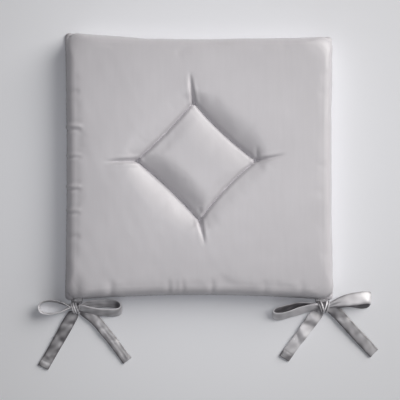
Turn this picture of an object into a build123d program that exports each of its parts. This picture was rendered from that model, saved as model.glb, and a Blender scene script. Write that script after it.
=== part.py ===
from build123d import *
import math
import os

# Square chair seat pad: a foam and wadding filling in a sewn cover, a stitched diamond
# that pulls the middle of the top down, and two pairs of fabric ties, each pair tied in
# a bow on the rear edge. Millimetres, +Z up. The origin is the middle of the underside.
# +Y is the front edge, -Y the rear edge with the ties, +X the right-hand side.

# Pad
side = 400.0  # seam to seam, measured at the corners
crown_height = 44.0  # underside to the highest point of the top
edge_height = 38.0  # underside to the top, at the middle of an edge
front_pull, rear_pull = 8.0, 9.0  # how far the middle of an edge is drawn in
left_pull, right_pull = 2.5, 4.0

# Cover
cloth = 1.0  # thickness of a cover panel
lip = 3.0  # how far the bottom seam stands out from the side wall
lip_height = 3.6
lip_round = 1.2
lip_corner_radius = 7.0  # corners of the bottom seam, in plan
wall_corner_radius = 22.0  # corners of the side wall, in plan
roll_radius = 12.0  # where the top rolls over into the side
thread = 0.6  # thickness of the sewing thread
corner_seam_height = 22.0  # the boxed corners are sewn up to here

# Filling
side_wadding = 4.0  # between the foam and the side wall
base_wadding = 3.0  # under the foam
top_wadding = 4.0  # at least this much over the foam's corners
foam_thickness = 28.0
wadding_at_stitch = 3.0  # squeezed between cover and foam under the diamond's stitches

# Stitched diamond
diamond_side = 122.0
diamond_centre = (-4.0, 6.0)
valley_bottom = 16.0  # height of the stitched line above the underside
valley_slope = 42.0  # of the valley's sides, in degrees from vertical
slot_depth = 0.8  # the underside's thread lies in a slot this deep, clear of the seat
slot_clearance = 0.2

# Ties
tie_width = 17.0
tie_cloth = 1.2
root_width = 14.0
bow_x = 182.0  # both bows, from the middle of the pad
seam_inset = 10.0  # how far the ties' ends are caught inside the seam
hinge_beyond_lip = 2.0  # the ties bend this far outside the seam
hinge_gap = 1.7  # free length on each side of the bend, so that it can turn
knot_reach = 10.6  # bend to the middle of the knot
root_stop = 3.0  # a tie's root ends this far before the middle of the knot
knot_size = (16.0, 13.0, 11.0)
knot_round = 4.5
loop_height = 13.0
loop_ease = 4.0  # a loop and a tail leave the knot this far to their own side
gathered_width = 6.0  # a tail's width where it leaves the knot
gathered_length = 18.0
bartack_size = (12.0, 1.2, 0.6)
bartack_inset = 2.8

# Each tie: its bow, the side of the knot that it leaves (-1 is left), the round end of
# its loop as centre and radius, and the middle of its tail's end.
ties = {
    "tie_left_outer": ("left", -1, (-230.5, -208.5), 8.5, (-231.5, -300.5)),
    "tie_left_inner": ("left", 1, (-122.0, -210.0), 8.0, (-107.5, -290.0)),
    "tie_right_inner": ("right", -1, (116.0, -216.0), 8.0, (125.5, -287.0)),
    "tie_right_outer": ("right", 1, (249.0, -200.0), 7.5, (262.5, -278.0)),
}


def edge_curve(pull):
    """Radius of an edge drawn in by pull, and its centre's distance from the pad's middle."""
    radius = ((side / 2) ** 2 + pull**2) / (2 * pull)
    return radius, side / 2 - pull + radius


def pad_outline(inset, corner_radius):
    """The pad's plan, drawn in at the middle of each edge, taken in by inset."""
    plan = Rectangle(1.1 * side, 1.1 * side)
    edges = [(0, -1, rear_pull), (1, 0, right_pull), (0, 1, front_pull), (-1, 0, left_pull)]
    for across, along, pull in edges:
        radius, centre = edge_curve(pull)
        plan -= Pos(across * centre, along * centre) * Circle(radius + inset)
    return fillet(plan.vertices(), corner_radius)


def rear_seam_y(x):
    """Where the bottom seam's outer edge crosses x on the rear side."""
    radius, centre = edge_curve(rear_pull)
    return -centre + math.sqrt(radius**2 - x**2)


def plate(plan, low, high):
    return Pos(0, 0, low) * extrude(plan, high - low)


def crown(drop):
    """A ball whose top is the pad's gently domed top face, lowered by drop."""
    rise = crown_height - edge_height
    radius = ((side / 2) ** 2 + rise**2) / (2 * rise)
    return Pos(0, 0, crown_height - drop - radius) * Sphere(radius)


def dome(inset, low, drop, roll):
    """A pad-shaped block: plan taken in by inset, domed top, rolled top edge."""
    block = plate(pad_outline(inset, wall_corner_radius), low, low + crown_height) & crown(drop)
    rim = [e for e in block.edges() if e.bounding_box().min.Z > low + roll]
    return fillet(rim, roll)


def valley(depth_below_cover):
    """The V-shaped ring over the diamond, cut the given depth into the cover's layers."""
    slope = math.radians(valley_slope)
    bottom = valley_bottom - depth_below_cover
    spread = thread / 2 + depth_below_cover * (1 / math.cos(slope) - math.tan(slope))
    place = Pos(*diamond_centre, bottom) * Rot(0, 0, 45)
    wide, narrow = diamond_side + 2 * spread, diamond_side - 2 * spread
    outer = extrude(place * Rectangle(wide, wide), crown_height, taper=-valley_slope)
    inner = extrude(place * Rectangle(narrow, narrow), crown_height, taper=valley_slope)
    return outer - inner


def diamond_ring(low, high):
    """A square frame one thread wide along the stitched diamond."""
    place = Pos(*diamond_centre) * Rot(0, 0, 45)
    wide, narrow = diamond_side + thread, diamond_side - thread
    return plate(place * (Rectangle(wide, wide) - Rectangle(narrow, narrow)), low, high)


def inside_cover():
    return dome(lip + cloth, cloth, cloth, roll_radius - cloth) - valley(cloth)


def make_foam_core():
    """A slab that the cover's corners press down a little."""
    low = cloth + base_wadding
    slab = plate(pad_outline(lip + cloth + side_wadding, wall_corner_radius), low, low + foam_thickness)
    return (slab & crown(cloth + top_wadding)) - valley(cloth + wadding_at_stitch)


def make_wadding_base():
    return plate(pad_outline(lip + cloth, wall_corner_radius), cloth, cloth + base_wadding)


def make_cover_top():
    seam_lip = plate(pad_outline(0, lip_corner_radius), cloth, cloth + lip_height)
    seam_lip = fillet(seam_lip.faces().sort_by(Axis.Z)[-1].edges(), lip_round)
    return dome(lip, cloth, 0, roll_radius) - valley(0) + seam_lip - inside_cover()


def make_cover_base():
    slot = diamond_ring(0, slot_depth)
    return plate(pad_outline(0, lip_corner_radius), 0, cloth) - slot


def make_seam_thread():
    """The thread that joins the top and base panels, all round the lip."""
    outer = pad_outline(lip / 2, lip_corner_radius)
    inner = pad_outline(lip / 2 + thread, lip_corner_radius)
    return plate(outer - inner, cloth, cloth + thread)


def make_corner_threads():
    """The four upright seams that box the corners, on the cover's inner face."""
    low = cloth + lip_height
    rod = Pos(0, 0, low) * extrude(Circle(thread / 2), corner_seam_height - low)
    inner_wall = pad_outline(lip + cloth, wall_corner_radius).edges()
    corners = [e @ 0.5 for e in inner_wall if e.length < side / 4]
    return [Pos(corner.X, corner.Y) * rod for corner in corners]


def bow_side(bow):
    return -1 if bow == "left" else 1


def hinge_point(bow):
    """Where both ties of a bow bend, just outside the seam."""
    x = bow_side(bow) * bow_x
    return (x, rear_seam_y(x) - hinge_beyond_lip, cloth + tie_cloth)


def tie_level(side_of_knot):
    """The two ties of a bow lie on each other in the seam."""
    return cloth if side_of_knot < 0 else cloth + tie_cloth


def make_tie_end(bow, side_of_knot):
    """The end of a tie that is caught between the two cover panels."""
    x, y, _ = hinge_point(bow)
    near, far = y + hinge_gap, rear_seam_y(x) + seam_inset
    low = tie_level(side_of_knot)
    return Pos(x, (near + far) / 2, low + tie_cloth / 2) * Box(root_width, far - near, tie_cloth)


def make_bartack(bow):
    x, _, _ = hinge_point(bow)
    low = cloth + 2 * tie_cloth
    return Pos(x, rear_seam_y(x) + bartack_inset, low + bartack_size[2] / 2) * Box(*bartack_size)


def make_half_knot(bow, side_of_knot):
    x, y, _ = hinge_point(bow)
    wide, deep, high = knot_size
    knot = Box(wide, deep, high)
    knot = fillet(knot.edges(), knot_round)
    keep = Pos(side_of_knot * wide / 2, 0, 0) * Box(wide, deep, high)
    return Pos(x, y - knot_reach, high / 2) * (knot & keep)


def make_loop(start, centre, radius):
    """A ribbon standing on its edge: two straight runs from start round a half turn."""
    dx, dy = centre[0] - start[0], centre[1] - start[1]
    heading, opening = math.atan2(dy, dx), math.acos(radius / math.hypot(dx, dy))
    turn = heading + math.pi - opening, heading + math.pi + opening
    first, last = [(centre[0] + radius * math.cos(a), centre[1] + radius * math.sin(a)) for a in turn]
    tip = (centre[0] + radius * math.cos(heading), centre[1] + radius * math.sin(heading))
    outline = make_face(Curve() + [Line(start, first), ThreePointArc(first, tip, last), Line(last, start)])
    return plate(outline - offset(outline, -tie_cloth), 0, loop_height)


def make_tail(start, end):
    """A flat ribbon on the seat's level, gathered where it leaves the knot."""
    length = math.dist(start, end)
    half, narrow = tie_width / 2, gathered_width / 2
    outline = Polyline(
        (0, -narrow),
        (gathered_length, -half),
        (length, -half),
        (length, half),
        (gathered_length, half),
        (0, narrow),
        close=True,
    )
    heading = math.degrees(math.atan2(end[1] - start[1], end[0] - start[0]))
    return plate(Pos(*start) * Rot(0, 0, heading) * make_face(outline), 0, tie_cloth)


def make_tie(bow, side_of_knot, loop_centre, loop_radius, tail_end):
    """One whole tie outside the seam: root, half of the knot, loop and tail."""
    x, y, _ = hinge_point(bow)
    start = (x + side_of_knot * loop_ease, y - knot_reach)
    near, far = y - hinge_gap, y - knot_reach + root_stop
    root = Pos(x, (near + far) / 2, tie_level(side_of_knot) + tie_cloth / 2)
    root = root * Box(root_width, near - far, tie_cloth)
    other_half = make_half_knot(bow, -side_of_knot)
    ribbon = root + make_loop(start, loop_centre, loop_radius) + make_tail(start, tail_end)
    return ribbon - other_half + make_half_knot(bow, side_of_knot)


def build():
    """Every sub-part by name, each a shape or a list of separate solids."""
    seam_thread = make_seam_thread()
    corner_threads = make_corner_threads()
    foam = make_foam_core()
    wadding_base = make_wadding_base()
    parts = {
        "foam_core": foam,
        "cover_base_panel": make_cover_base(),
        "diamond_stitch_top": diamond_ring(valley_bottom, valley_bottom + thread),
        "diamond_stitch_base": diamond_ring(slot_clearance, slot_depth),
        "corner_seam_threads": corner_threads,
    }
    caught = []
    for name, (bow, side_of_knot, *shape) in ties.items():
        parts[name] = make_tie(bow, side_of_knot, *shape)
        parts[f"{name}_sewn_end"] = make_tie_end(bow, side_of_knot) - seam_thread
        caught.append(parts[f"{name}_sewn_end"])
    parts["bartack_left"] = make_bartack("left")
    parts["bartack_right"] = make_bartack("right")
    parts["seam_thread"] = seam_thread
    parts["wadding_base"] = wadding_base - caught
    parts["wadding_top"] = inside_cover() - foam - wadding_base - corner_threads
    in_the_lip = [*caught, seam_thread, parts["bartack_left"], parts["bartack_right"], *corner_threads]
    parts["cover_top_panel"] = make_cover_top() - in_the_lip
    return parts


def main():
    os.makedirs("parts", exist_ok=True)
    for name, shape in build().items():
        whole = Compound(shape) if isinstance(shape, list) else shape
        export_step(whole, f"parts/{name}.step")


if __name__ == "__main__":
    main()
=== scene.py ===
import math
import random

import bpy
import numpy as np
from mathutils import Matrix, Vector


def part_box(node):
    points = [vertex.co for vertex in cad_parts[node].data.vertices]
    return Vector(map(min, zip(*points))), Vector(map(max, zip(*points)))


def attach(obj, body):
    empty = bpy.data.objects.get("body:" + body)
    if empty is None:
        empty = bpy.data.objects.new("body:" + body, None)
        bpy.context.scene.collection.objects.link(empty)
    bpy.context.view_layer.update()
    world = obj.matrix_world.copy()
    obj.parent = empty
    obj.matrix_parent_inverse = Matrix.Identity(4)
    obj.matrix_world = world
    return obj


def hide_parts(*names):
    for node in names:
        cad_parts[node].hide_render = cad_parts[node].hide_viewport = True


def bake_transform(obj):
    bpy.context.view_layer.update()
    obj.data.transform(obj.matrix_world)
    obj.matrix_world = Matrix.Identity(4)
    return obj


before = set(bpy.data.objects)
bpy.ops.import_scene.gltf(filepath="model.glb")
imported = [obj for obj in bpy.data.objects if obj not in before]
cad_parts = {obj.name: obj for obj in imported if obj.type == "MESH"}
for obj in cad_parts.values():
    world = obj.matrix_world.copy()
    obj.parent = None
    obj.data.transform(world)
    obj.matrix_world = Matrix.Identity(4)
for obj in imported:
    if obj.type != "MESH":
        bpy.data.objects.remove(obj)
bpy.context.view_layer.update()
mm = 0.001
fullTurn = 6.283       # the length of a wave's turn, in radians
phaseRange = 6.28      # where a wave may start

# Every length in the piece dictionaries is in millimetres, in the frame's own axes.


def hexToLinear(code):
    channels = [int(code[i:i + 2], 16) / 255 for i in (1, 3, 5)]
    linear = [c / 12.92 if c <= 0.04045 else ((c + 0.055) / 1.055) ** 2.4 for c in channels]
    return (*linear, 1.0)


def addNode(tree, kind, settings=None, inputs=None):
    node = tree.nodes.new(kind)
    for name, value in (settings or {}).items():
        setattr(node, name, value)
    for name, value in (inputs or {}).items():
        if isinstance(value, bpy.types.NodeSocket):
            tree.links.new(value, node.inputs[name])
        else:
            node.inputs[name].default_value = value
    return node


def nodeBoxOf(*names):
    lows, highs = zip(*(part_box(name) for name in names))
    return np.min(lows, axis=0) / mm, np.max(highs, axis=0) / mm


def setRamp(node, stops):
    ramp = node.color_ramp
    while len(ramp.elements) < len(stops):
        ramp.elements.new(0.5)
    for element, (place, colour) in zip(ramp.elements, stops):
        element.position = place
        element.color = colour


def makeCloth(name, look):
    # Threads are drawn from the cloth's own flat coordinates, kept on the mesh as clothAt.
    material = bpy.data.materials.new(name)
    material.use_nodes = True
    tree = material.node_tree
    tree.nodes.clear()
    where = addNode(tree, "ShaderNodeAttribute", {"attribute_name": "clothAt"}).outputs["Vector"]
    threadsPerMetre = 1000 / look["threadSpacing"]
    warp = addNode(tree, "ShaderNodeMapping", None, {
        "Vector": where,
        "Scale": (threadsPerMetre, threadsPerMetre * look["floatShare"], 1.0)})
    threads = addNode(tree, "ShaderNodeTexNoise", None, {
        "Vector": warp.outputs["Vector"], "Scale": 1.0, "Detail": 1.5, "Roughness": 0.6})
    stretched = addNode(tree, "ShaderNodeMapping", None, {
        "Vector": where, "Scale": (160.0, 14.0, 1.0)})     # slubs of about 6 by 70 mm
    slubs = addNode(tree, "ShaderNodeTexNoise", None, {
        "Vector": stretched.outputs["Vector"], "Scale": 1.0, "Detail": 2.0, "Roughness": 0.55})
    clouds = addNode(tree, "ShaderNodeTexNoise", None, {
        "Vector": where, "Scale": look["cloudScale"], "Detail": 3.0, "Roughness": 0.5})
    tone = addNode(tree, "ShaderNodeValToRGB", None, {"Fac": clouds.outputs["Fac"]})
    setRamp(tone, [(0.3, hexToLinear(look["shade"])), (0.7, hexToLinear(look["colour"]))])
    streaks = addNode(tree, "ShaderNodeMapRange", None, {
        "Value": slubs.outputs["Fac"], "From Min": 0.3, "From Max": 0.7,
        "To Min": 1 - look["slub"], "To Max": 1 + look["slub"]})
    colour = addNode(tree, "ShaderNodeMix", {"data_type": "RGBA", "blend_type": "MULTIPLY"}, {
        "Factor": 1.0})
    faceColour = tone.outputs["Color"]
    if "dullBackAndShade" in look:
        # satin turned to its duller back, mixed with painted light and shade, as each piece's own
        # per-point tone values say
        faceToneAndPaintedLight = addNode(tree, "ShaderNodeAttribute", {"attribute_name": "faceToneAndPaintedLight"}).outputs["Fac"]
        sides = addNode(tree, "ShaderNodeMix", {"data_type": "RGBA"})
        tree.links.new(faceToneAndPaintedLight, sides.inputs[0])
        sides.inputs[6].default_value = hexToLinear(look["dullBackAndShade"])
        tree.links.new(faceColour, sides.inputs[7])
        faceColour = sides.outputs[2]
    tree.links.new(faceColour, colour.inputs[6])
    tree.links.new(streaks.outputs["Result"], colour.inputs[7])
    rough = addNode(tree, "ShaderNodeMapRange", None, {
        "Value": threads.outputs["Fac"], "From Min": 0.25, "From Max": 0.75,
        "To Min": look["roughness"] - 0.06, "To Max": look["roughness"] + 0.07})
    relief = addNode(tree, "ShaderNodeMath", {"operation": "MULTIPLY_ADD"}, {
        0: slubs.outputs["Fac"], 1: 0.6, 2: threads.outputs["Fac"]})
    bump = addNode(tree, "ShaderNodeBump", None, {
        "Height": relief.outputs["Value"], "Strength": look["relief"], "Distance": 0.00012})
    shader = addNode(tree, "ShaderNodeBsdfPrincipled", None, {
        "Base Color": colour.outputs[2], "Roughness": rough.outputs["Result"],
        "Normal": bump.outputs["Normal"], "IOR": look["ior"], "Specular IOR Level": look["gloss"],
        "Sheen Weight": look["sheen"], "Sheen Roughness": 0.4,
        "Sheen Tint": (1.0, 1.0, 1.0, 1.0)})
    addNode(tree, "ShaderNodeOutputMaterial", None, {"Surface": shader.outputs["BSDF"]})
    return material


def makeFibre(name, look):
    # One colour broken up by fine fibres or cells, for thread and wadding.
    material = bpy.data.materials.new(name)
    material.use_nodes = True
    tree = material.node_tree
    tree.nodes.clear()
    where = addNode(tree, "ShaderNodeTexCoord").outputs["Object"]
    grain = addNode(tree, "ShaderNodeTexNoise", None, {
        "Vector": where, "Scale": 1000 / look["grain"], "Detail": 3.0, "Roughness": 0.6})
    tone = addNode(tree, "ShaderNodeValToRGB", None, {"Fac": grain.outputs["Fac"]})
    setRamp(tone, [(0.35, hexToLinear(look["shade"])), (0.65, hexToLinear(look["colour"]))])
    bump = addNode(tree, "ShaderNodeBump", None, {
        "Height": grain.outputs["Fac"], "Strength": 0.5, "Distance": look["grain"] * mm / 4})
    shader = addNode(tree, "ShaderNodeBsdfPrincipled", None, {
        "Base Color": tone.outputs["Color"], "Roughness": look["roughness"],
        "Normal": bump.outputs["Normal"], "IOR": 1.5, "Sheen Weight": look["sheen"]})
    addNode(tree, "ShaderNodeOutputMaterial", None, {"Surface": shader.outputs["BSDF"]})
    return material


# Polyester satin, woven with long warp floats, then calendered: a soft even lustre with
# hardly any visible weave. Real threads are about 0.12 mm apart; drawn at 0.7 mm to show.
coverSatin = makeCloth("polyesterSatin", {
    "colour": "#cdcace", "shade": "#c6c3c7",
    "threadSpacing": 0.7, "floatShare": 0.16, "cloudScale": 9.0,
    "slub": 0.012, "roughness": 0.49, "relief": 0.25, "ior": 1.6, "gloss": 0.9, "sheen": 0.0})
# The same satin cut in strips, folded and turned. Its tone per point mixes the bright face and
# the duller back
#  with painted light and shade: painted highlights where the face takes the light, painted shade
#      where it is crushed and along its four-layer edges.
tieSatin = makeCloth("turnedSatinStrip", {
    "colour": "#f3f1f4", "shade": "#e6e4e8", "dullBackAndShade": "#605d61",
    "threadSpacing": 0.6, "floatShare": 0.16, "cloudScale": 40.0,
    "slub": 0.02, "roughness": 0.36, "relief": 0.3, "ior": 1.6, "gloss": 0.9, "sheen": 0.12})
# Spun polyester sewing thread, about 0.3 mm thick: matte and slightly hairy.
sewingThread = makeFibre("spunPolyesterThread", {
    "colour": "#a9a7aa", "shade": "#8f8d90", "grain": 0.3, "roughness": 0.65, "sheen": 0.2})
# Bonded polyester wadding, carded into a loose web: white and fluffy.
bondedWadding = makeFibre("polyesterWadding", {
    "colour": "#f1f1f1", "shade": "#dcdcdc", "grain": 0.8, "roughness": 0.9, "sheen": 0.4})

print("materials made")


pad = {
    "half": 200.0,                 # half of the distance from corner to corner
    "pull": {"front": 12.0, "rear": 8.5, "left": 2.5, "right": 4.0},
    # the front right corner is worn down
    "blunt": {"corner": (200.0, 200.0), "reach": 150.0, "by": (1.0, 5.6)},
    "crown": 43.6, "edgeTop": 38.5, "crownFall": 2.6, "crownSwell": 0.8,
    "cornerDip": 2.5, "cornerDipFrom": 230.0, "cornerDipTo": 275.0,
    "lean": (1.3, 0.6),            # the padding stands this much to the right and the front
    "lipCorner": 6.0, "wallInset": 2.6, "wallCorner": 20.0, "fieldCorner": 26.0,
    "seamHeight": 1.4,
    # the side seen in section, from the top face to the seam: inset and height
    "section": [(15.0, 0.0), (11.0, -0.7), (7.6, -2.6), (5.0, -5.8), (3.6, -10.0),
                (2.6, -16.0), (2.2, -22.0), (2.8, -28.0), (4.2, -32.4), (3.9, -34.4),
                (2.0, -35.3), (0.5, -35.8), (0.0, -36.4), (0.4, -37.1)],
    "rings": 110, "sideRings": 32,
    "clothThickness": 0.6,
    # unevenness of the padding: height, seed and size of its waves
    "lumps": [(0.35, 11, 70.0), (0.12, 12, 24.0)],
    # small even ripples where the seam is sewn
    "ripple": {"height": 0.22, "length": 7.5, "seed": 21, "size": 60.0},
}
sideStart = pad["section"][0][0]     # how far in from the seam the flat top face ends
quilting = {
    "corners": [(-7.9, 93.1), (83.6, 7.3), (1.0, -80.7), (-91.2, 7.3)],
    # the sides in the order upper right, lower right, lower left, upper left
    "bow": [3.7, 5.0, 3.2, 2.4],                   # how far each side curves inward
    "outside": [40.0, 40.0, 40.0, 42.0],           # how wide the bank beyond it is
    "inside": [42.0, 22.0, 38.0, 30.0],            # and the bank within it
    "bank": [10.0, 3.2, 13.5, 3.2], "cornerBank": 5.0,   # how deep the cloth is drawn in
    "insideDrop": 1.2,                             # the middle's depth below the rest
    "groove": 6.5, "grooveWidth": 1.15,            # the tight nip at the stitches
    "stitch": 3.8, "threadRadius": 0.25,
}
# Creases that the quilting pulls in the cloth: points from the start, depth and width.
creases = [
    ([(-7.9, 91.0), (-10.8, 112.0), (-14.0, 137.0)], 6.0, 1.8),
    ([(-89.0, 7.3), (-118.0, 6.4), (-138.0, 5.0)], 6.5, 1.9),
    ([(81.5, 7.0), (104.0, 11.0), (128.0, 16.0)], 4.6, 1.7),
    ([(84.6, 8.0), (83.4, 31.0)], 1.8, 2.0),
    ([(0.8, -78.5), (4.6, -98.0), (8.0, -116.0)], 5.4, 1.8),
    ([(3.0, -80.0), (11.5, -71.0)], 1.2, 1.6),
    ([(1.5, -64.0), (1.2, -78.0)], 1.2, 1.6),
]
# Gathers over the top edge: side, place along it, depth, width, reach in from the seam.
gathers = [
    ("left", 57.5, -1.5, 2.8, 15), ("left", 53.5, 1.2, 2.6, 12), ("left", 14.5, -0.6, 2.4, 12),
    ("left", 12.0, 1.3, 2.0, 13), ("left", -31.0, -1.2, 2.8, 13), ("left", -34.5, 1.2, 2.4, 13),
    ("left", -66.0, -0.8, 2.8, 12), ("left", -69.0, 1.0, 2.6, 12), ("left", -103.7, 0.7, 4.0, 12),
    ("left", 108.0, 0.7, 4.0, 10), ("rear", -178.0, 1.0, 6.0, 22), ("rear", -128.0, 1.0, 5.0, 20),
    ("rear", -44.0, 0.7, 3.5, 20), ("rear", -33.0, 0.5, 3.0, 16), ("rear", -24.0, 0.7, 3.0, 18),
    ("rear", 19.0, 0.9, 3.5, 18), ("rear", 96.0, 0.6, 5.0, 16), ("rear", 150.0, 0.7, 5.0, 18),
]


def roundedRing(s, t, half, corner):
    # A point of the square grid goes to the same place on a square with rounded corners.
    ring = np.maximum(np.maximum(np.abs(s), np.abs(t)), 1e-9)
    share = np.minimum(np.abs(s), np.abs(t)) / ring
    straight = half - corner
    along = share * (straight + corner * math.pi / 4)
    turn = np.clip((along - straight) / corner, 0, None)
    far = np.where(turn > 0, straight + corner * np.cos(turn), half)
    near = np.where(turn > 0, straight + corner * np.sin(turn), along)
    wide = np.abs(s) >= np.abs(t)
    return np.sign(s) * np.where(wide, far, near), np.sign(t) * np.where(wide, near, far)


def drawInSides(x, y):
    # The middles of the four sides are drawn in between the corners.
    half, pull = pad["half"], pad["pull"]
    bowX = np.clip(1 - (x / half) ** 2, 0, None)
    bowY = np.clip(1 - (y / half) ** 2, 0, None)
    endY = np.where(y > 0, pull["front"], pull["rear"]) * bowX
    endX = np.where(x > 0, pull["right"], pull["left"]) * bowY
    x, y = x * (1 - endX / half), y * (1 - endY / half)
    blunt = pad["blunt"]
    near = np.hypot(x - blunt["corner"][0], y - blunt["corner"][1]) / blunt["reach"]
    fall = smoothStep(1.0, 0.0, near)
    return x - blunt["by"][0] * fall, y - blunt["by"][1] * fall


def smoothStep(low, high, value):
    share = np.clip((value - low) / (high - low), 0, 1)
    return share * share * (3 - 2 * share)


def softNoise(x, y, seed, size):
    # A few crossed waves with seeded turns and phases: gentle unevenness.
    source = random.Random(seed)
    total = np.zeros_like(x)
    for step in range(7):
        turn, phase = source.uniform(0, math.pi), source.uniform(0, phaseRange)
        length = size * source.uniform(0.6, 1.6)
        across = x * math.cos(turn) + y * math.sin(turn)
        total += np.sin(across * fullTurn / length + phase)
    return total / 7


def toSegment(x, y, a, b):
    # Distance to a segment, share along it, and which side of it
    ax, ay, bx, by = *a, *b
    dx, dy = bx - ax, by - ay
    length = math.hypot(dx, dy)
    share = np.clip(((x - ax) * dx + (y - ay) * dy) / length**2, 0, 1)
    distance = np.hypot(x - ax - share * dx, y - ay - share * dy)
    side = ((x - ax) * dy - (y - ay) * dx) / length
    return distance, share, side, length


def toStitchLine(x, y, i):
    # Distance to one bowed side of the diamond, share along it, and how far within it
    a, b = quilting["corners"][i], quilting["corners"][(i + 1) % 4]
    distance, share, side, _ = toSegment(x, y, a, b)
    beyond = np.sqrt(np.clip(distance**2 - side**2, 0, None))
    within = side - quilting["bow"][i] * 4 * share * (1 - share)
    return np.hypot(within, beyond), share, within


def toDiamond(x, y):
    distance, inside = np.full_like(x, 1e9), np.ones(x.shape, bool)
    for i in range(4):
        d, _, within = toStitchLine(x, y, i)
        distance = np.minimum(distance, d)
        inside &= within > 0
    return distance, inside


def closeUp(x, y):
    # Draws the grid's points towards the stitches and creases, where the cloth bends most.
    pull = 5.0
    for i in range(4):
        d, share, within = toStitchLine(x, y, i)
        ax, ay = quilting["corners"][i]
        bx, by = quilting["corners"][(i + 1) % 4]
        length = math.hypot(bx - ax, by - ay)
        ends = smoothStep(0.0, 0.06, share) * smoothStep(1.0, 0.94, share)
        shift = -0.6 * within * np.exp(-(d / pull) ** 2) * ends
        x, y = x + shift * (by - ay) / length, y - shift * (bx - ax) / length
    for points, _, _ in creases[:5]:
        a, b = points[0], points[-1]
        d, share, side, length = toSegment(x, y, a, b)
        shift = -0.45 * side * np.exp(-(d / pull) ** 2)
        shift = shift * smoothStep(0.0, 0.15, share) * smoothStep(1.0, 0.8, share)
        x, y = x + shift * (b[1] - a[1]) / length, y - shift * (b[0] - a[0]) / length
    return x, y


def valleyDepth(x, y):
    # A nip at the stitches between two banks; the outer one is narrower at the corners.
    outside, within = np.zeros_like(x), np.zeros_like(x)
    nearest, inside = np.full_like(x, 1e9), np.ones(x.shape, bool)
    for i in range(4):
        d, share, inward = toStitchLine(x, y, i)
        middle = (4 * share * (1 - share)) ** 0.6
        reach = quilting["outside"][i] * (0.5 + 0.5 * middle)
        bank = quilting["cornerBank"] + (quilting["bank"][i] - quilting["cornerBank"]) * middle
        outside += (bank * np.clip(1 - d / reach, 0, 1) ** 2) ** 4
        slope = np.clip(1 - np.abs(inward) / quilting["inside"][i], 0, 1) ** 2
        within += ((bank - quilting["insideDrop"]) * slope) ** 4
        nearest = np.minimum(nearest, d)
        inside &= inward > 0
    uneven = 1 - 0.06 * softNoise(x, y, 6, 60.0)
    nip = quilting["groove"] * np.exp(-(nearest / quilting["grooveWidth"]) ** 1.3)
    depth = np.where(inside, quilting["insideDrop"] + within ** 0.25, outside ** 0.25)
    return (depth + nip) * uneven


def creaseDepth(x, y):
    total = np.zeros_like(x)
    for points, depth, width in creases:
        lengths = [math.dist(points[i], points[i + 1]) for i in range(len(points) - 1)]
        best = np.full_like(x, 1e9)
        fall, lean = np.zeros_like(x), np.zeros_like(x)
        gone = 0.0
        for i, length in enumerate(lengths):
            d, share, side, _ = toSegment(x, y, points[i], points[i + 1])
            nearer = d < best
            best = np.where(nearer, d, best)
            fall = np.where(nearer, (gone + share * length) / sum(lengths), fall)
            lean = np.where(nearer, side, lean)
            gone += length
        strength = depth * (1 - fall) ** 1.1
        groove = np.exp(-(best / width) ** 2)
        shoulder = 0.3 * np.exp(-((best - 2.6 * width) / (1.6 * width)) ** 2)
        dish = 0.3 * np.exp(-(best / (4.5 * width)) ** 2)
        total += strength * (groove + dish - shoulder)
    return total


def gatherDepth(x, y, inset):
    # How far the surface is drawn inward by the gathers along the four seams
    total = np.zeros_like(x)
    for side, place, depth, width, reach in gathers:
        along = y if side in ("left", "right") else x
        edge = {"left": -x, "right": x, "rear": -y, "front": y}[side]
        near = smoothStep(pad["half"] - 45, pad["half"] - 20, edge)
        fade = 1 - smoothStep(reach * 0.35, reach, inset)
        groove = np.exp(-((along - place) / width) ** 2)
        swell = 0.35 * np.exp(-((np.abs(along - place) - 2.2 * width) / (1.4 * width)) ** 2)
        total += depth * near * fade * (groove - swell)
    return total


def makeTopGrid(rings, sideRings):
    # The flat square grid, its place on the cover, and the outward direction at the side
    steps = np.linspace(-1, 1, 2 * rings + 1)
    s, t = np.meshgrid(steps, steps, indexing="ij")
    ring = np.maximum(np.abs(s), np.abs(t)) * rings
    fieldRings = rings - sideRings
    section = np.array(pad["section"])
    lengths = np.concatenate([[0], np.cumsum(np.hypot(*np.diff(section, axis=0).T))])
    down = np.clip((ring - fieldRings) / sideRings, 0, 1) * lengths[-1]
    inset = np.interp(down, lengths, section[:, 0])
    drop = np.interp(down, lengths, section[:, 1])
    share = np.clip(ring / fieldRings, 0, 1)
    corner = np.interp(inset, [0.0, pad["wallInset"], sideStart],
                       [pad["lipCorner"], pad["wallCorner"], pad["fieldCorner"]])
    half = pad["half"] - inset
    x, y = roundedRing(s, t, half, corner)
    x, y = x * share, y * share
    x, y = closeUp(*drawInSides(x, y))
    fieldInset = pad["half"] - (pad["half"] - sideStart) * share
    edgeInset = np.where(ring <= fieldRings, fieldInset, inset)
    return x, y, drop, edgeInset, ring > fieldRings, down


def crownHeight(x, y):
    half, fall = pad["half"], pad["crownFall"]
    bell = (1 - np.abs(x / half) ** fall) * (1 - np.abs(y / half) ** fall)
    rise = np.clip(bell, 0, 1) ** pad["crownSwell"]
    return pad["edgeTop"] + (pad["crown"] - pad["edgeTop"]) * rise


def makeTopShape(rings, sideRings):
    x, y, drop, inset, onSide, down = makeTopGrid(rings, sideRings)
    outward = smoothStep(pad["cornerDipFrom"], pad["cornerDipTo"], np.hypot(x, y))
    z = crownHeight(x, y) - pad["cornerDip"] * outward
    # the section is stretched so that its lower end is always at the seam's height
    lowest = -pad["section"][-1][1]
    z = np.where(onSide, z + drop * (z - pad["seamHeight"]) / lowest, z)
    lean = smoothStep(3.0, 20.0, z) * smoothStep(80.0, 18.0, inset)
    return x + pad["lean"][0] * lean, y + pad["lean"][1] * lean, z, inset, onSide, down


def gridFaces(count):
    index = np.arange(count * count).reshape(count, count)
    quads = np.stack([index[:-1, :-1], index[1:, :-1], index[1:, 1:], index[:-1, 1:]], axis=-1)
    return quads.reshape(-1, 4)


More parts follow.
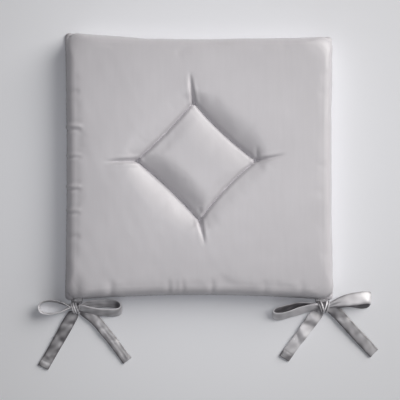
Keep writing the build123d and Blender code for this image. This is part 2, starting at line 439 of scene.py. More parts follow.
def meshFrom(name, points, faces, material, clothAt=None, faceToneAndPaintedLight=None):
    mesh = bpy.data.meshes.new(name)
    corners = faces.tolist() if isinstance(faces, np.ndarray) else faces
    mesh.from_pydata((np.asarray(points) * mm).tolist(), [], corners)
    mesh.update()
    mesh.polygons.foreach_set("use_smooth", [True] * len(mesh.polygons))
    if clothAt is not None:
        layer = mesh.attributes.new("clothAt", "FLOAT_VECTOR", "POINT")
        flat = np.zeros((len(mesh.vertices), 3))
        flat[:, :2] = np.asarray(clothAt) * mm
        layer.data.foreach_set("vector", flat.ravel())
    if faceToneAndPaintedLight is not None:
        layer = mesh.attributes.new("faceToneAndPaintedLight", "FLOAT", "POINT")
        layer.data.foreach_set("value", np.clip(faceToneAndPaintedLight, 0, 1).astype(np.float32).ravel())
    mesh.materials.append(material)
    piece = bpy.data.objects.new(name, mesh)
    bpy.context.scene.collection.objects.link(piece)
    return piece


swelling = {
    "rings": 56, "sideRings": 17, "frames": 20,
    "heldBeside": 2.5,             # the cloth is held this close to the stitches
    "heldFrom": 0.86, "heldTo": 0.97,   # and from here down the side to the seam
    "mass": 0.15, "tension": 25, "compression": 12, "shear": 6, "bending": 0.6,
    "pressure": 3.0, "shrink": -0.008, "quality": 5,
    "cap": 2.6, "share": 0.3,      # the most that a point moves, and how much of it is kept
}


def swellWithCloth():
    # Air pressure on a coarser sheet, held at the seam and along the quilting. Returns
    # how far each of its points moved.
    x, y, z, _, _, down = makeTopShape(swelling["rings"], swelling["sideRings"])
    z = z - valleyDepth(x, y)
    count = 2 * swelling["rings"] + 1
    start = np.stack([x, y, z], axis=-1).reshape(-1, 3)
    sheet = meshFrom("swelling", start, gridFaces(count), coverSatin)
    distance, _ = toDiamond(x, y)
    held = np.where(distance < swelling["heldBeside"], 1.0, 0.0)
    low = smoothStep(swelling["heldFrom"], swelling["heldTo"], down / down.max())
    held = np.maximum(held, low)
    group = sheet.vertex_groups.new(name="sewn")
    for i, weight in enumerate(held.ravel()):
        if weight > 0:
            group.add([i], float(weight), "REPLACE")
    cloth = sheet.modifiers.new("cloth", "CLOTH")
    cloth.settings.quality = swelling["quality"]
    cloth.settings.mass = swelling["mass"]
    cloth.settings.tension_stiffness = swelling["tension"]
    cloth.settings.compression_stiffness = swelling["compression"]
    cloth.settings.shear_stiffness = swelling["shear"]
    cloth.settings.bending_stiffness = swelling["bending"]
    cloth.settings.use_pressure = True
    cloth.settings.uniform_pressure_force = swelling["pressure"]
    cloth.settings.shrink_min = swelling["shrink"]
    cloth.settings.vertex_group_mass = "sewn"
    cloth.settings.pin_stiffness = 1.0
    cloth.settings.effector_weights.gravity = 0
    cloth.collision_settings.use_collision = False
    cloth.point_cache.frame_start, cloth.point_cache.frame_end = 1, swelling["frames"]
    scene = bpy.context.scene
    for step in range(1, swelling["frames"] + 1):
        scene.frame_set(step)
    bpy.context.view_layer.update()
    swollen = sheet.evaluated_get(bpy.context.evaluated_depsgraph_get())
    end = np.empty(len(start) * 3, np.float32)
    swollen.data.vertices.foreach_get("co", end)
    moved = end.reshape(-1, 3) / mm - start
    scene.frame_set(1)
    bpy.data.objects.remove(sheet)
    return moved.reshape(count, count, 3)


def limitTo(moved, most):
    size = np.linalg.norm(moved, axis=-1, keepdims=True)
    return moved * (most * np.tanh(size / most) / np.maximum(size, 1e-6))


def refine(values, count):
    # Bilinear: from the coarse grid to the fine one
    old = values.shape[0]
    place = np.linspace(0, old - 1, count)
    low = np.clip(place.astype(int), 0, old - 2)
    share = (place - low)[:, None, None]
    rows = values[low] * (1 - share) + values[low + 1] * share
    share = (place - low)[None, :, None]
    return rows[:, low] * (1 - share) + rows[:, low + 1] * share


def gridNormals(points):
    along = np.gradient(points, axis=0)
    across = np.gradient(points, axis=1)
    normal = np.cross(along, across)
    return normal / np.maximum(np.linalg.norm(normal, axis=-1, keepdims=True), 1e-9)


count = 2 * pad["rings"] + 1
x, y, z, inset, onSide, down = makeTopShape(pad["rings"], pad["sideRings"])
topPoints = np.stack([x, y, z], axis=-1)
topNormal = gridNormals(topPoints)
# hollows act straight down on the top face and inward on the side
pushed = gatherDepth(x, y, np.where(onSide, 0, inset - sideStart))
topPoints -= topNormal * pushed[..., None]
topPoints[..., 2] -= (valleyDepth(x, y) + creaseDepth(x, y)) * (1 - onSide)
lumps = sum(height * softNoise(x, y, seed, size) for height, seed, size in pad["lumps"])
topPoints += topNormal * lumps[..., None]
moved = refine(limitTo(swellWithCloth(), swelling["cap"]), count) * swelling["share"]
topPoints += moved
print("cover swollen, largest move", round(float(np.abs(moved).max()), 2), "mm")
sewn = pad["ripple"]
edgeAlong = np.where(np.abs(x) > np.abs(y), y, x)
drift = 3 * softNoise(x, y, sewn["seed"], sewn["size"])
ripple = sewn["height"] * np.sin(edgeAlong * fullTurn / sewn["length"] + drift)
nearSeam = smoothStep(0.72, 0.9, down / down.max()) * onSide
topPoints += topNormal * (ripple * nearSeam)[..., None]
flatAt = np.stack([x * (1 + 0.2 * onSide), y * (1 + 0.2 * onSide)], axis=-1)
coverTop = meshFrom("coverTopPanel", topPoints.reshape(-1, 3), gridFaces(count), coverSatin,
                    flatAt.reshape(-1, 2))
print("cover top made", len(coverTop.data.vertices), "points")


def thicken(piece, thickness):
    layer = piece.modifiers.new("thickness", "SOLIDIFY")
    layer.thickness = thickness * mm
    layer.offset = -1.0
    layer.use_rim = True


thicken(coverTop, pad["clothThickness"])


base = {"rings": 64, "edgeRings": 8, "fieldInset": 9.0, "seamInset": 0.4,
        "pullUp": 3.2, "pullWidth": 9.0, "edgeRise": 1.3, "slack": 0.25}


def drawnUp(away):
    # How far the quilting lifts the base panel, beside the stitches
    return base["pullUp"] * np.exp(-(away / base["pullWidth"]) ** 1.3)


def makeBase():
    steps = np.linspace(-1, 1, 2 * base["rings"] + 1)
    s, t = np.meshgrid(steps, steps, indexing="ij")
    ring = np.maximum(np.abs(s), np.abs(t)) * base["rings"]
    field = base["rings"] - base["edgeRings"]
    edge = np.clip((ring - field) / base["edgeRings"], 0, 1)
    share = np.clip(ring / field, 0, 1)
    inset = base["fieldInset"] * (1 - edge) + base["seamInset"] * edge
    corner = pad["lipCorner"] + inset
    bx, by = roundedRing(s, t, pad["half"] - inset, corner)
    bx, by = drawInSides(bx * share, by * share)
    away, _ = toDiamond(bx, by)
    bz = base["edgeRise"] * edge ** 2.2
    bz += drawnUp(away) * (1 - edge)
    slack = base["slack"] * (softNoise(bx, by, 31, 50.0) + 0.6)
    bz += slack * smoothStep(0, 30, away) * (1 - edge)
    points = np.stack([bx, by, np.clip(bz, 0.02, None)], axis=-1).reshape(-1, 3)
    faces = gridFaces(2 * base["rings"] + 1)[:, ::-1]
    return meshFrom("coverBasePanel", points, faces, coverSatin, points[:, :2])


coverBase = makeBase()
thicken(coverBase, pad["clothThickness"])
print("base panel made")


stuffing = {"step": 4, "gap": 2.6, "nip": 9.0, "nipWidth": 13.0, "lowest": 2.2, "bottom": 2.0,
            "bottomScale": 0.985}


def makeFilling():
    # Foam in its wadding, one soft block a little inside the cover
    step = stuffing["step"]
    inner = topPoints[::step, ::step] - topNormal[::step, ::step] * stuffing["gap"]
    near, _ = toDiamond(inner[..., 0], inner[..., 1])
    nipped = inner[..., 2] - stuffing["nip"] * np.exp(-(near / stuffing["nipWidth"]) ** 2)
    inner[..., 2] = np.maximum(nipped, stuffing["lowest"])
    n = inner.shape[0]
    top = inner.reshape(-1, 3)
    bottom = top.copy()
    away, _ = toDiamond(bottom[:, 0], bottom[:, 1])
    bottom[:, 2] = stuffing["bottom"] + drawnUp(away)
    bottom[:, :2] *= stuffing["bottomScale"]
    faces = gridFaces(n).tolist() + (gridFaces(n)[:, ::-1] + n * n).tolist()
    index = np.arange(n * n).reshape(n, n)
    border = np.concatenate([index[0, :-1], index[:-1, -1], index[-1, :0:-1], index[:0:-1, 0]])
    for a, b in zip(border, np.roll(border, -1)):
        faces.append([int(a), int(b), int(b) + n * n, int(a) + n * n])
    return meshFrom("padFilling", np.concatenate([top, bottom]), faces, bondedWadding)


filling = makeFilling()
print("filling made")


def stitchRow(name, heightAt, lift):
    # Each stitch is a short bent thread that dives into the cloth at both ends.
    radius, sides, bends = quilting["threadRadius"], 6, 6
    points, faces = [], []
    corners = quilting["corners"]
    for i, a in enumerate(corners):
        b = corners[(i + 1) % 4]
        length = math.dist(a, b)
        number = round(length / quilting["stitch"])
        ux, uy = (b[0] - a[0]) / length, (b[1] - a[1]) / length
        bow = quilting["bow"][i]
        for k in range(number):
            first = len(points)
            for j in range(bends + 1):
                share = j / bends
                along = (k + 0.12 + 0.76 * share) * length / number
                inward = bow * 4 * (along / length) * (1 - along / length)
                px, py = a[0] + ux * along + uy * inward, a[1] + uy * along - ux * inward
                arch = math.sin(math.pi * share) * 0.5 - 0.25
                pz = heightAt(px, py) + lift * arch
                for m in range(sides):
                    angle = math.tau * m / sides
                    across = radius * math.cos(angle)
                    up = radius * math.sin(angle)
                    points.append((px - uy * across, py + ux * across, pz + up))
            for j in range(bends):
                for m in range(sides):
                    n = (m + 1) % sides
                    low, high = first + j * sides, first + (j + 1) * sides
                    faces.append([low + m, low + n, high + n, high + m])
            faces.append([first + m for m in range(sides)][::-1])
            faces.append([first + bends * sides + m for m in range(sides)])
    return meshFrom(name, points, faces, sewingThread)


flatTop = topPoints.reshape(-1, 3)


def topHeightAt(px, py):
    near = (flatTop[:, 0] - px) ** 2 + (flatTop[:, 1] - py) ** 2 < 2.2**2
    return flatTop[near, 2].min() + 0.1


stitchTop = stitchRow("quiltingStitchTop", topHeightAt, 1.0)
stitchBase = stitchRow("quiltingStitchBase", lambda px, py: base["pullUp"] - 0.2, -1.0)
print("stitches made")


def throughPoints(rows, spacing):
    # A smooth line through the rows of numbers, read at an even spacing
    rows = np.array(rows, float)
    ends = np.concatenate([[2 * rows[0] - rows[1]], rows, [2 * rows[-1] - rows[-2]]])
    out = []
    for i in range(1, len(ends) - 2):
        p0, p1, p2, p3 = ends[i - 1:i + 3]
        for u in np.linspace(0, 1, 24, endpoint=False):
            square, cube = 2 * p0 - 5 * p1 + 4 * p2 - p3, 3 * p1 - p0 - 3 * p2 + p3
            out.append(0.5 * (2 * p1 + (p2 - p0) * u + square * u**2 + cube * u**3))
    out.append(ends[-2])
    out = np.array(out)
    run = np.concatenate([[0], np.cumsum(np.linalg.norm(np.diff(out[:, :3], axis=0), axis=1))])
    places = np.linspace(0, run[-1], max(int(run[-1] / spacing), 3))
    columns = [np.interp(places, run, out[:, k]) for k in range(out.shape[1])]
    return np.stack(columns, axis=-1), places


def makeRibbon(name, rows, width, look):
    # rows: x, y, z, the way the width points, the share of the full width, the tone (the satin's
    # face or back, with painted light and shade).
    # dents: place along the strip, depth, size and slant; hem: length of the folded end.
    line, run = throughPoints(rows, look["spacing"])
    place, widthWay, narrow = line[:, :3], line[:, 3:6], line[:, 6]
    widthWay = widthWay / np.linalg.norm(widthWay, axis=1, keepdims=True)
    forward = np.gradient(place, axis=0)
    forward /= np.maximum(np.linalg.norm(forward, axis=1, keepdims=True), 1e-9)
    normal = np.cross(forward, widthWay)
    normal /= np.maximum(np.linalg.norm(normal, axis=1, keepdims=True), 1e-9)
    across = 13
    u = np.linspace(-1, 1, across)
    source = random.Random(name)
    phase = [source.uniform(0, phaseRange) for _ in range(6)]
    puff = look["puff"] * (1 - np.abs(u) ** 3.0) + look["edge"]
    pleat = np.clip(1 - narrow, 0, 1) * look["pleat"]
    s = run[:, None]
    drift = phase[0] + 0.8 * np.sin(s / 23 + phase[1])
    wave = look["wave"] * np.sin(s / 9.0 + drift) * (0.6 + 0.4 * u)
    wave = wave + 0.5 * look["wave"] * np.sin(s / 5.3 + 2.2 * u + phase[2])
    wave = wave + pleat[:, None] * np.cos(u * math.pi * look["pleats"] + phase[3] + s / 60)
    for at, depth, size, slant in look["dents"]:
        wave = wave - depth * np.exp(-((s - at - slant * u * width / 2) / size) ** 2)
    thickness = puff[None, :] * (1 + 0.18 * np.sin(s / 7 + phase[4] + u * 2))
    hem = look["hem"]
    if hem:
        # the folded end is thicker, with a line where it is sewn down
        fromEnd = run[-1] - s
        thickness = thickness + 0.35 * (1 - smoothStep(hem - 0.8, hem + 0.8, fromEnd))
        thickness = thickness - 0.45 * np.exp(-((fromEnd - hem) / 1.1) ** 2)
        thickness = np.maximum(thickness, 0.25)
    halfWidth = width / 2 * narrow * (1 + 0.02 * np.sin(run / 11 + phase[5]))
    side = widthWay[:, None, :] * (halfWidth[:, None] * u[None, :])[..., None]
    middle = place[:, None, :] + side + normal[:, None, :] * wave[..., None]
    upper = middle + normal[:, None, :] * thickness[..., None]
    lower = middle - normal[:, None, :] * thickness[..., None]
    loop = np.concatenate([upper, lower[:, ::-1]], axis=1)
    low = loop[..., 2].min(axis=1, keepdims=True)
    loop[..., 2] += np.maximum(look["floor"] - low, 0)
    rowsCount, ringCount = loop.shape[:2]
    index = np.arange(rowsCount * ringCount).reshape(rowsCount, ringCount)
    nextRound = np.roll(index, -1, axis=1)
    sideFaces = np.stack([index[:-1], nextRound[:-1], nextRound[1:], index[1:]], axis=-1)
    faces = sideFaces.reshape(-1, 4).tolist()
    for i, turn in ((0, 1), (rowsCount - 1, -1)):
        for k in range(across - 1):
            a, b = index[i, k], index[i, k + 1]
            c, d = index[i, ringCount - 2 - k], index[i, ringCount - 1 - k]
            faces.append([int(v) for v in (a, d, c, b)][::turn])
    # brighter on an edge that stands up, darker where the turned edges lie on each other
    # painted highlight along the top edge of a strip that stands up, and painted shade along both
    # edges of a strip that lies flat
    upright = np.clip(widthWay[:, 2:3], 0, 1)
    nearEdges, nearTop = np.exp(-((1 - np.abs(u)) / 0.24) ** 2), np.exp(-((1 - u) / 0.16) ** 2)
    faceToneAndPaintedLight = line[:, 7:8] - look["edgeShade"] * (1 - upright) * nearEdges
    faceToneAndPaintedLight = faceToneAndPaintedLight + look["rim"] * upright * nearTop
    # painted light and shade of crumpled satin: light and dark patches along the strip
    crumpleShading = np.sin(s / 3.1 + 2.6 * u + phase[1]) * np.sin(s / 11 - 2 * u + phase[0])
    faceToneAndPaintedLight = faceToneAndPaintedLight + look["crumpleShade"] * crumpleShading
    faceToneAndPaintedLight = np.concatenate([faceToneAndPaintedLight, faceToneAndPaintedLight[:, ::-1]], axis=1)
    flat = np.zeros(loop.shape[:2] + (2,))
    flat[..., 0] = np.concatenate([u, u[::-1] + 2.2])[None, :] * width / 2
    flat[..., 1] = run[:, None]
    piece = meshFrom(name, loop.reshape(-1, 3), faces, tieSatin, flat.reshape(-1, 2), faceToneAndPaintedLight)
    smoother = piece.modifiers.new("smooth", "SUBSURF")
    smoother.levels = smoother.render_levels = 1
    return piece, float(run[-1])


tieLook = {"puff": 0.8, "edge": 0.28, "wave": 0.35, "pleat": 1.5, "pleats": 2.5, "floor": 0.15,
           "edgeShade": 0.16, "rim": 1.3, "crumpleShade": 0.08, "spacing": 1.4, "hem": 0, "dents": []}
stand = (0.0, 0.12, 0.99)          # a loop on its edge
standIn = (0.0, 0.26, 0.97)        # its back run leans to the pad
standOut = (0.0, -0.02, 1.0)       # its front run stands upright
leanBack = (0.0, 0.72, 0.69)       # a loop that leans towards the pad
lieBack = (0.0, 0.88, 0.47)        # a loop half lying down
lieFlat = (0.05, 0.98, 0.18)       # a loop pressed down
tipForward = (0.0, 0.96, -0.28)    # its top run tips to the front


def row(x, y, z, way, share=1.0, faceToneAndPaintedLight=0.25):
    return (x, y, z, *way, share, faceToneAndPaintedLight)


# Each row's last number is its tone: the satin's face or back, with painted shade on runs that
# face away from the light or lie under the pad's edge, and painted highlights on runs that face
# it.
ties = {
    "tieLeftOuter": {
        "body": "bow_left", "node": "tie_left_outer",
        "rows": [
            row(-182.0, -211.0, 6.0, stand, 0.42, 0.5),
            row(-190.0, -208.4, 7.0, stand, 0.55, 0.3),
            row(-200.0, -204.4, 8.4, standIn, 0.85, 0.0),
            row(-214.0, -200.6, 8.8, standIn, 1.0, 0.0),
            row(-227.0, -200.0, 8.8, standIn, 1.0, 0.05),
            row(-235.5, -203.8, 8.8, stand, 1.0, 0.5),
            row(-237.6, -210.0, 8.8, stand, 1.0, 0.9),
            row(-234.4, -215.8, 8.8, standOut, 1.0, 0.9),
            row(-226.0, -218.6, 8.8, standOut, 1.0, 0.6),
            row(-212.0, -217.8, 8.8, standOut, 1.0, 0.9),
            row(-200.0, -213.8, 8.4, standOut, 0.85, 0.7),
            row(-190.0, -210.0, 7.0, stand, 0.55, 0.5),
            row(-184.0, -210.6, 5.0, (0.3, 0.5, 0.8), 0.45, 0.3),
            row(-184.6, -214.2, 3.4, (0.9, 0.1, 0.4), 0.6, 0.2),
            row(-187.0, -219.6, 3.4, (0.9, -0.4, 0.05), 0.95, 0.1),
            row(-193.0, -230.0, 3.8, (0.895, -0.446, 0), 1.04, 0.2),
            row(-204.0, -250.0, 3.6, (0.895, -0.446, 0), 1.02, 0.16),
            row(-217.0, -273.0, 2.6, (0.895, -0.446, 0), 1.0, 0.2),
            row(-224.0, -285.0, 2.0, (0.895, -0.446, 0), 1.0, 0.3),
            row(-229.4, -294.0, 1.7, (0.895, -0.446, 0), 1.0, 0.5),
            row(-232.6, -299.6, 1.6, (0.895, -0.446, 0), 1.0, 0.1)],
        "look": {"hem": 9.0, "edgeShade": 0.28, "crumpleShade": 0.16, "dents": [
            (150, 0.5, 3.0, -0.5), (175, 0.9, 5.0, 0.7), (200, 0.8, 4.0, -0.6),
            (208, -0.6, 3.0, 0.4)]},
    },
    "tieLeftInner": {
        "body": "bow_left", "node": "tie_left_inner",
        "rows": [
            row(-184.0, -211.0, 7.0, leanBack, 0.42, 0.4),
            row(-176.0, -208.4, 7.6, leanBack, 0.6, 0.5),
            row(-166.0, -205.8, 6.2, lieBack, 0.78, 0.45),
            row(-150.0, -204.2, 4.9, lieBack, 0.86, 0.5),
            row(-132.0, -204.0, 4.9, lieBack, 0.86, 0.35),
            row(-120.0, -206.2, 5.6, leanBack, 0.92, 0.0),
            row(-115.4, -211.4, 7.0, leanBack, 1.0, 0.3),
            row(-119.4, -216.2, 7.0, leanBack, 1.0, 0.55),
            row(-131.0, -217.8, 7.6, leanBack, 1.0, 0.4),
            row(-146.0, -216.8, 8.6, leanBack, 1.0, 0.5),
            row(-162.0, -213.4, 9.2, leanBack, 1.0, 0.45),
            row(-173.0, -210.6, 9.4, leanBack, 0.9, 0.6),
            row(-181.0, -210.4, 6.6, (0.2, 0.6, 0.7), 0.5, 0.4),
            row(-176.0, -213.4, 3.6, (0.75, 0.6, 0.1), 0.7, 0.15),
            row(-166.6, -218.4, 4.0, (0.79, 0.61, 0), 1.0, 0.12),
            row(-153.4, -229.6, 4.4, (0.81, 0.585, 0), 0.95, 0.4),
            row(-136.4, -250.0, 4.0, (0.81, 0.585, 0), 0.88, 0.46),
            row(-120.8, -270.6, 3.0, (0.81, 0.585, 0), 0.86, 0.42),
            row(-111.8, -283.2, 2.1, (0.79, 0.61, 0), 0.9, 0.42),
            row(-106.6, -289.8, 1.6, (0.79, 0.61, 0), 0.95, 0.35)],
        "look": {"hem": 9.0, "puff": 1.15, "edgeShade": 0.56, "crumpleShade": 0.13, "dents": [
            (160, 0.5, 3.0, 0.5), (176, 0.5, 3.0, -0.4), (193, 0.5, 3.0, 0.5),
            (215, 0.6, 4.0, 0.4)]},
    },
    "tieRightInner": {
        "body": "bow_right", "node": "tie_right_inner",
        "rows": [
            row(182.0, -209.0, 6.0, leanBack, 0.42, 0.2),
            row(174.0, -206.6, 7.4, leanBack, 0.6, 0.05),
            row(162.0, -206.4, 6.4, leanBack, 0.83, 0.0),
            row(146.0, -208.0, 6.2, leanBack, 0.98, 0.0),
            row(128.0, -211.0, 7.0, leanBack, 1.0, 0.0),
            row(115.0, -215.0, 7.0, leanBack, 1.0, 0.05),
            row(109.8, -219.4, 6.8, leanBack, 1.0, 0.5),
            row(113.0, -222.8, 6.6, leanBack, 1.0, 0.7),
            row(123.0, -222.4, 7.0, leanBack, 1.0, 0.6),
            row(138.0, -218.4, 7.4, leanBack, 1.0, 0.7),
            row(154.0, -213.4, 7.8, leanBack, 1.0, 0.8),
            row(168.0, -209.8, 8.2, leanBack, 0.9, 0.7),
            row(180.0, -208.8, 6.0, (0.2, 0.6, 0.7), 0.5, 0.3),
            row(180.8, -213.6, 3.8, (0.9, -0.3, 0.1), 0.6, 0.3),
            row(176.0, -219.6, 3.8, (0.84, -0.53, 0), 1.0, 0.4),
            row(169.6, -227.0, 4.2, (0.82, -0.57, 0), 1.1, 0.7),
            row(164.6, -234.0, 4.4, (0.82, -0.57, 0), 1.1, 0.3),
            row(158.4, -242.0, 4.2, (0.8, -0.6, 0), 1.06, 0.9),
            row(151.6, -252.0, 3.8, (0.8, -0.6, 0), 1.02, 0.6),
            row(144.0, -262.0, 3.2, (0.82, -0.57, 0), 1.0, 0.8),
            row(135.6, -273.6, 2.2, (0.82, -0.57, 0), 1.0, 0.6),
            row(130.0, -281.6, 1.6, (0.84, -0.54, 0), 1.0, 0.15),
            row(126.6, -286.4, 1.6, (0.84, -0.54, 0), 1.0, 0.02)],
        "look": {"hem": 11.0, "wave": 0.7, "edgeShade": 0.1, "crumpleShade": 0.12, "dents": [
            (160, 1.4, 4.0, 0.8), (172, -0.9, 4.0, 0.5), (184, 1.2, 4.5, -0.6),
            (199, -0.8, 4.5, 0.5), (211, 1.0, 4.0, 0.7)]},
    },
    "tieRightOuter": {
        "body": "bow_right", "node": "tie_right_outer",
        "rows": [
            row(184.0, -209.0, 6.0, (0, 0.7, 0.7), 0.42, 0.5),
            row(192.0, -206.0, 8.8, (0, 0.85, 0.5), 0.55, 0.7),
            row(204.0, -202.4, 11.2, (0, 0.97, 0.1), 0.8, 0.4),
            row(222.0, -198.0, 12.0, tipForward, 1.1, 0.72),
            row(240.0, -195.4, 10.8, tipForward, 1.16, 0.84),
            row(251.0, -195.0, 8.6, tipForward, 1.12, 0.8),
            row(255.6, -196.8, 5.6, lieFlat, 1.05, 0.7),
            row(252.0, -202.0, 3.4, lieFlat, 1.0, 0.0),
            row(242.0, -203.4, 2.6, lieFlat, 0.98, 0.0),
            row(226.0, -202.2, 2.8, lieFlat, 0.9, 0.3),
            row(208.0, -204.0, 3.6, (0, 0.95, 0.3), 0.9, 0.5),
            row(196.0, -207.0, 4.6, (0, 0.85, 0.5), 0.7, 0.5),
            row(187.0, -209.0, 5.0, (0.3, 0.7, 0.5), 0.5, 0.5),
            row(192.6, -209.6, 5.0, (0.7, 0.7, 0.1), 0.8, 0.6),
            row(201.6, -214.6, 4.6, (0.76, 0.65, 0), 1.0, 0.12),
            row(212.0, -225.0, 4.4, (0.75, 0.66, 0), 1.0, 0.32),
            row(228.6, -243.6, 4.0, (0.72, 0.69, 0), 1.0, 0.36),
            row(246.0, -262.0, 3.0, (0.71, 0.7, 0), 1.0, 0.4),
            row(256.0, -273.0, 2.0, (0.7, 0.71, 0), 1.0, 0.5),
            row(261.4, -278.6, 1.6, (0.7, 0.71, 0), 1.0, 0.4)],
        "look": {"hem": 9.0, "puff": 1.15, "edgeShade": 0.55, "crumpleShade": 0.12, "dents": [
            (180, 0.7, 5.0, 0.8), (190, -0.5, 4.0, 0.3), (214, 0.5, 4.0, 0.3)]},
    },
}
tieWidth = 17.0
tiePieces = {}
for name, tie in ties.items():
    piece, length = makeRibbon(name, tie["rows"], tieWidth, {**tieLook, **tie["look"]})
    tiePieces[name] = piece
    tie["length"] = length
    print(name, "runs", round(length, 1), "mm")

# The knots: each is bands of gathered tie round the crossing. A band has a shift along
#  the knot, a slant, a share of the tie's width and a tone, which paints bright strands and
#  shaded gaps between them.
knots = {
    "knotLeft": {"body": "bow_left", "middle": (-183.4, -210.8, 6.0), "size": (5.6, 5.0),
                 "bands": [(0.0, 0.5, 0.58, 0.0), (-4.2, 2.2, 0.17, 0.8),
                           (-0.8, 2.6, 0.19, 1.0),
                           (2.8, 2.6, 0.18, 0.85), (5.6, -1.6, 0.14, 0.6)]},
    "knotRight": {"body": "bow_right", "middle": (185.0, -208.8, 6.0), "size": (5.8, 5.0),
                  "bands": [(0.0, 0.5, 0.66, 0.0), (-5.4, 2.6, 0.15, 0.45),
                            (-1.6, 2.6, 0.17, 0.95),
                            (2.6, -2.8, 0.2, 1.0), (6.4, -2.6, 0.16, 0.8)]},
}
knotPieces = {}
for name, knot in knots.items():
    kx, ky, kz = knot["middle"]
    deep, high = knot["size"]
    for number, (shift, slant, share, faceToneAndPaintedLight) in enumerate(knot["bands"]):
        rows = []
        for step in range(17):
            angle = 2 * math.pi * step / 16
            grown = 0.0 if number == 0 else 0.9 + 0.25 * number
            rows.append(row(kx + shift + slant * math.sin(angle),
                            ky + (deep + grown) * math.cos(angle + 1.57),
                            kz + (high + grown) * math.sin(angle + 1.57),
                            (1.0, 0.25, 0.0), share, faceToneAndPaintedLight))
        piece, _ = makeRibbon(f"{name}Wrap{number + 1}", rows, tieWidth, {
            **tieLook, "pleat": 0.2, "pleats": 2.0, "wave": 0.05, "puff": 0.95, "edgeShade": 0.8,
            "rim": 0.0, "spacing": 1.0})
        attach(piece, knot["body"])
        knotPieces.setdefault(knot["body"], []).append(piece)
print("ties and knots made")

# The roots: from inside the seam out to the knot, one for each tie, one on the other.
roots = {}
for name, level, shift in (("tieLeftOuter", 1.7, -1.2), ("tieLeftInner", 3.0, 1.2),
                           ("tieRightInner", 1.7, -1.2), ("tieRightOuter", 3.0, 1.2)):
    side = -1 if "Left" in name else 1
    rootX = side * 182.0 + shift
    seamY = nodeBoxOf(ties[name]["node"] + "_sewn_end")[0][1]
    flatWay = (1.0, 0.0, 0.0)
    # from the seam: how far out, how much higher, and the share of the width
    rows = [row(rootX, seamY - out, level + rise, flatWay, share) for out, rise, share in (
        (-9.5, 0.0, 0.95), (-4.0, 0.0, 0.95), (1.5, 0.0, 0.9), (5.0, 1.2, 0.7), (9.0, 2.4, 0.5))]
    piece, length = makeRibbon(name + "Root", rows, tieWidth, {
        **tieLook, "wave": 0.1, "puff": 0.25, "edge": 0.2, "pleat": 0.6})
    roots[name] = (piece, length, seamY)
print("roots made")


for piece in (coverTop, coverBase, filling, stitchTop, stitchBase):
    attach(piece, "pad")
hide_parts("cover_top_panel", "seam_thread", "corner_seam_threads")
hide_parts("cover_base_panel")
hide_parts("foam_core", "wadding_top", "wadding_base")
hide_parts("diamond_stitch_top")
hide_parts("diamond_stitch_base")

for name, tie in ties.items():
    piece = tiePieces[name]
    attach(piece, tie["body"])
    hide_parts(tie["node"])
    root, length, seamY = roots[name]
    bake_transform(root)
    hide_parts(tie["node"] + "_sewn_end")

for node in ("bartack_left", "bartack_right"):
    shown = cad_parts[node]
    shown.data.materials.clear()
    shown.data.materials.append(sewingThread)


studio = {
    "floor": "#f0f1f5", "floorSize": 8.0, "floorGap": 0.3,
    "key": {"from": (2.95, 1.99, 2.23), "size": 3.6, "power": 178.0, "colour": "#fffdfa"},
    "rear": {"from": (0.0, -2.13, 1.49), "size": 1.6, "power": 4.0, "colour": "#f8f9fc"},
    "top": {"from": (0.0, 0.0, 2.0), "size": 1.8, "power": 4.6, "colour": "#f8f9fc"},
    "pool": {"from": (0.0, 0.0, 2.2), "size": 0.2, "power": 37.0, "cone": 24,
             "colour": "#fbfbff"},
    "sky": "#e9eaec", "skyStrength": 0.03,
}
floorMaterial = bpy.data.materials.new("paintedBoard")
floorMaterial.use_nodes = True
floorTree = floorMaterial.node_tree
floorTree.nodes.clear()
speckle = addNode(floorTree, "ShaderNodeTexNoise", None, {
    "Vector": addNode(floorTree, "ShaderNodeTexCoord").outputs["Object"],
    "Scale": 260.0, "Detail": 2.0})
floorBump = addNode(floorTree, "ShaderNodeBump", None, {
    "Height": speckle.outputs["Fac"], "Strength": 0.04, "Distance": 0.0003})
floorShader = addNode(floorTree, "ShaderNodeBsdfPrincipled", None, {
    "Base Color": hexToLinear(studio["floor"]), "Roughness": 0.9, "Specular IOR Level": 0.1,
    "Normal": floorBump.outputs["Normal"]})
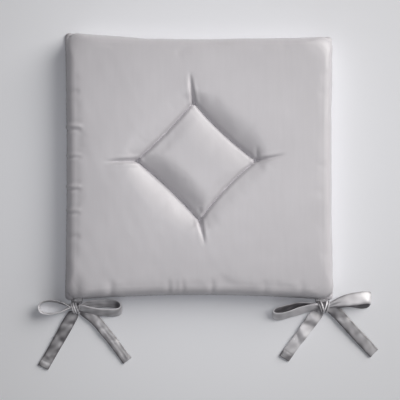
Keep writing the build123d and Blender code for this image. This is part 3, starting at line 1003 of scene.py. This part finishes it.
addNode(floorTree, "ShaderNodeOutputMaterial", None, {"Surface": floorShader.outputs["BSDF"]})
reach = studio["floorSize"] * 500
under = -studio["floorGap"]
floor = meshFrom("floor", [(-reach, -reach, under), (reach, -reach, under), (reach, reach, under),
                           (-reach, reach, under)], [[0, 1, 2, 3]], floorMaterial)


def addLamp(name, lamp):
    data = bpy.data.lights.new(name, "AREA")
    data.shape = "DISK"
    data.size = lamp["size"]
    data.energy = lamp["power"]
    data.color = hexToLinear(lamp["colour"])[:3]
    light = bpy.data.objects.new(name, data)
    light.location = lamp["from"]
    aim = -np.array(lamp["from"])
    light.rotation_euler = (math.acos(-aim[2] / np.linalg.norm(aim)), 0,
                            math.atan2(aim[1], aim[0]) - math.pi / 2)
    bpy.context.scene.collection.objects.link(light)


def addPool(name, lamp):
    # A wide soft spot straight above, brightest in the middle of the table
    data = bpy.data.lights.new(name, "SPOT")
    data.energy = lamp["power"]
    data.spot_size = math.radians(lamp["cone"])
    data.spot_blend = 1.0
    data.shadow_soft_size = lamp["size"]
    data.color = hexToLinear(lamp["colour"])[:3]
    light = bpy.data.objects.new(name, data)
    light.location = lamp["from"]
    bpy.context.scene.collection.objects.link(light)


addLamp("keyLamp", studio["key"])
addLamp("rearLamp", studio["rear"])
addLamp("topLamp", studio["top"])
addPool("poolLamp", studio["pool"])
world = bpy.data.worlds.new("studio")
world.use_nodes = True
background = world.node_tree.nodes["Background"]
background.inputs["Color"].default_value = hexToLinear(studio["sky"])
background.inputs["Strength"].default_value = studio["skyStrength"]
bpy.context.scene.world = world
bpy.context.scene.view_settings.view_transform = "Standard"

view = {"above": (1.5, -50.0), "height": 1600.0, "lens": 96.5, "sensor": 36.0}
cameraData = bpy.data.cameras.new("camera")
cameraData.lens = view["lens"]
cameraData.sensor_width = view["sensor"]
camera = bpy.data.objects.new("camera", cameraData)
camera.location = (view["above"][0] * mm, view["above"][1] * mm, view["height"] * mm)
bpy.context.scene.collection.objects.link(camera)
bpy.context.scene.camera = camera
print("studio made")
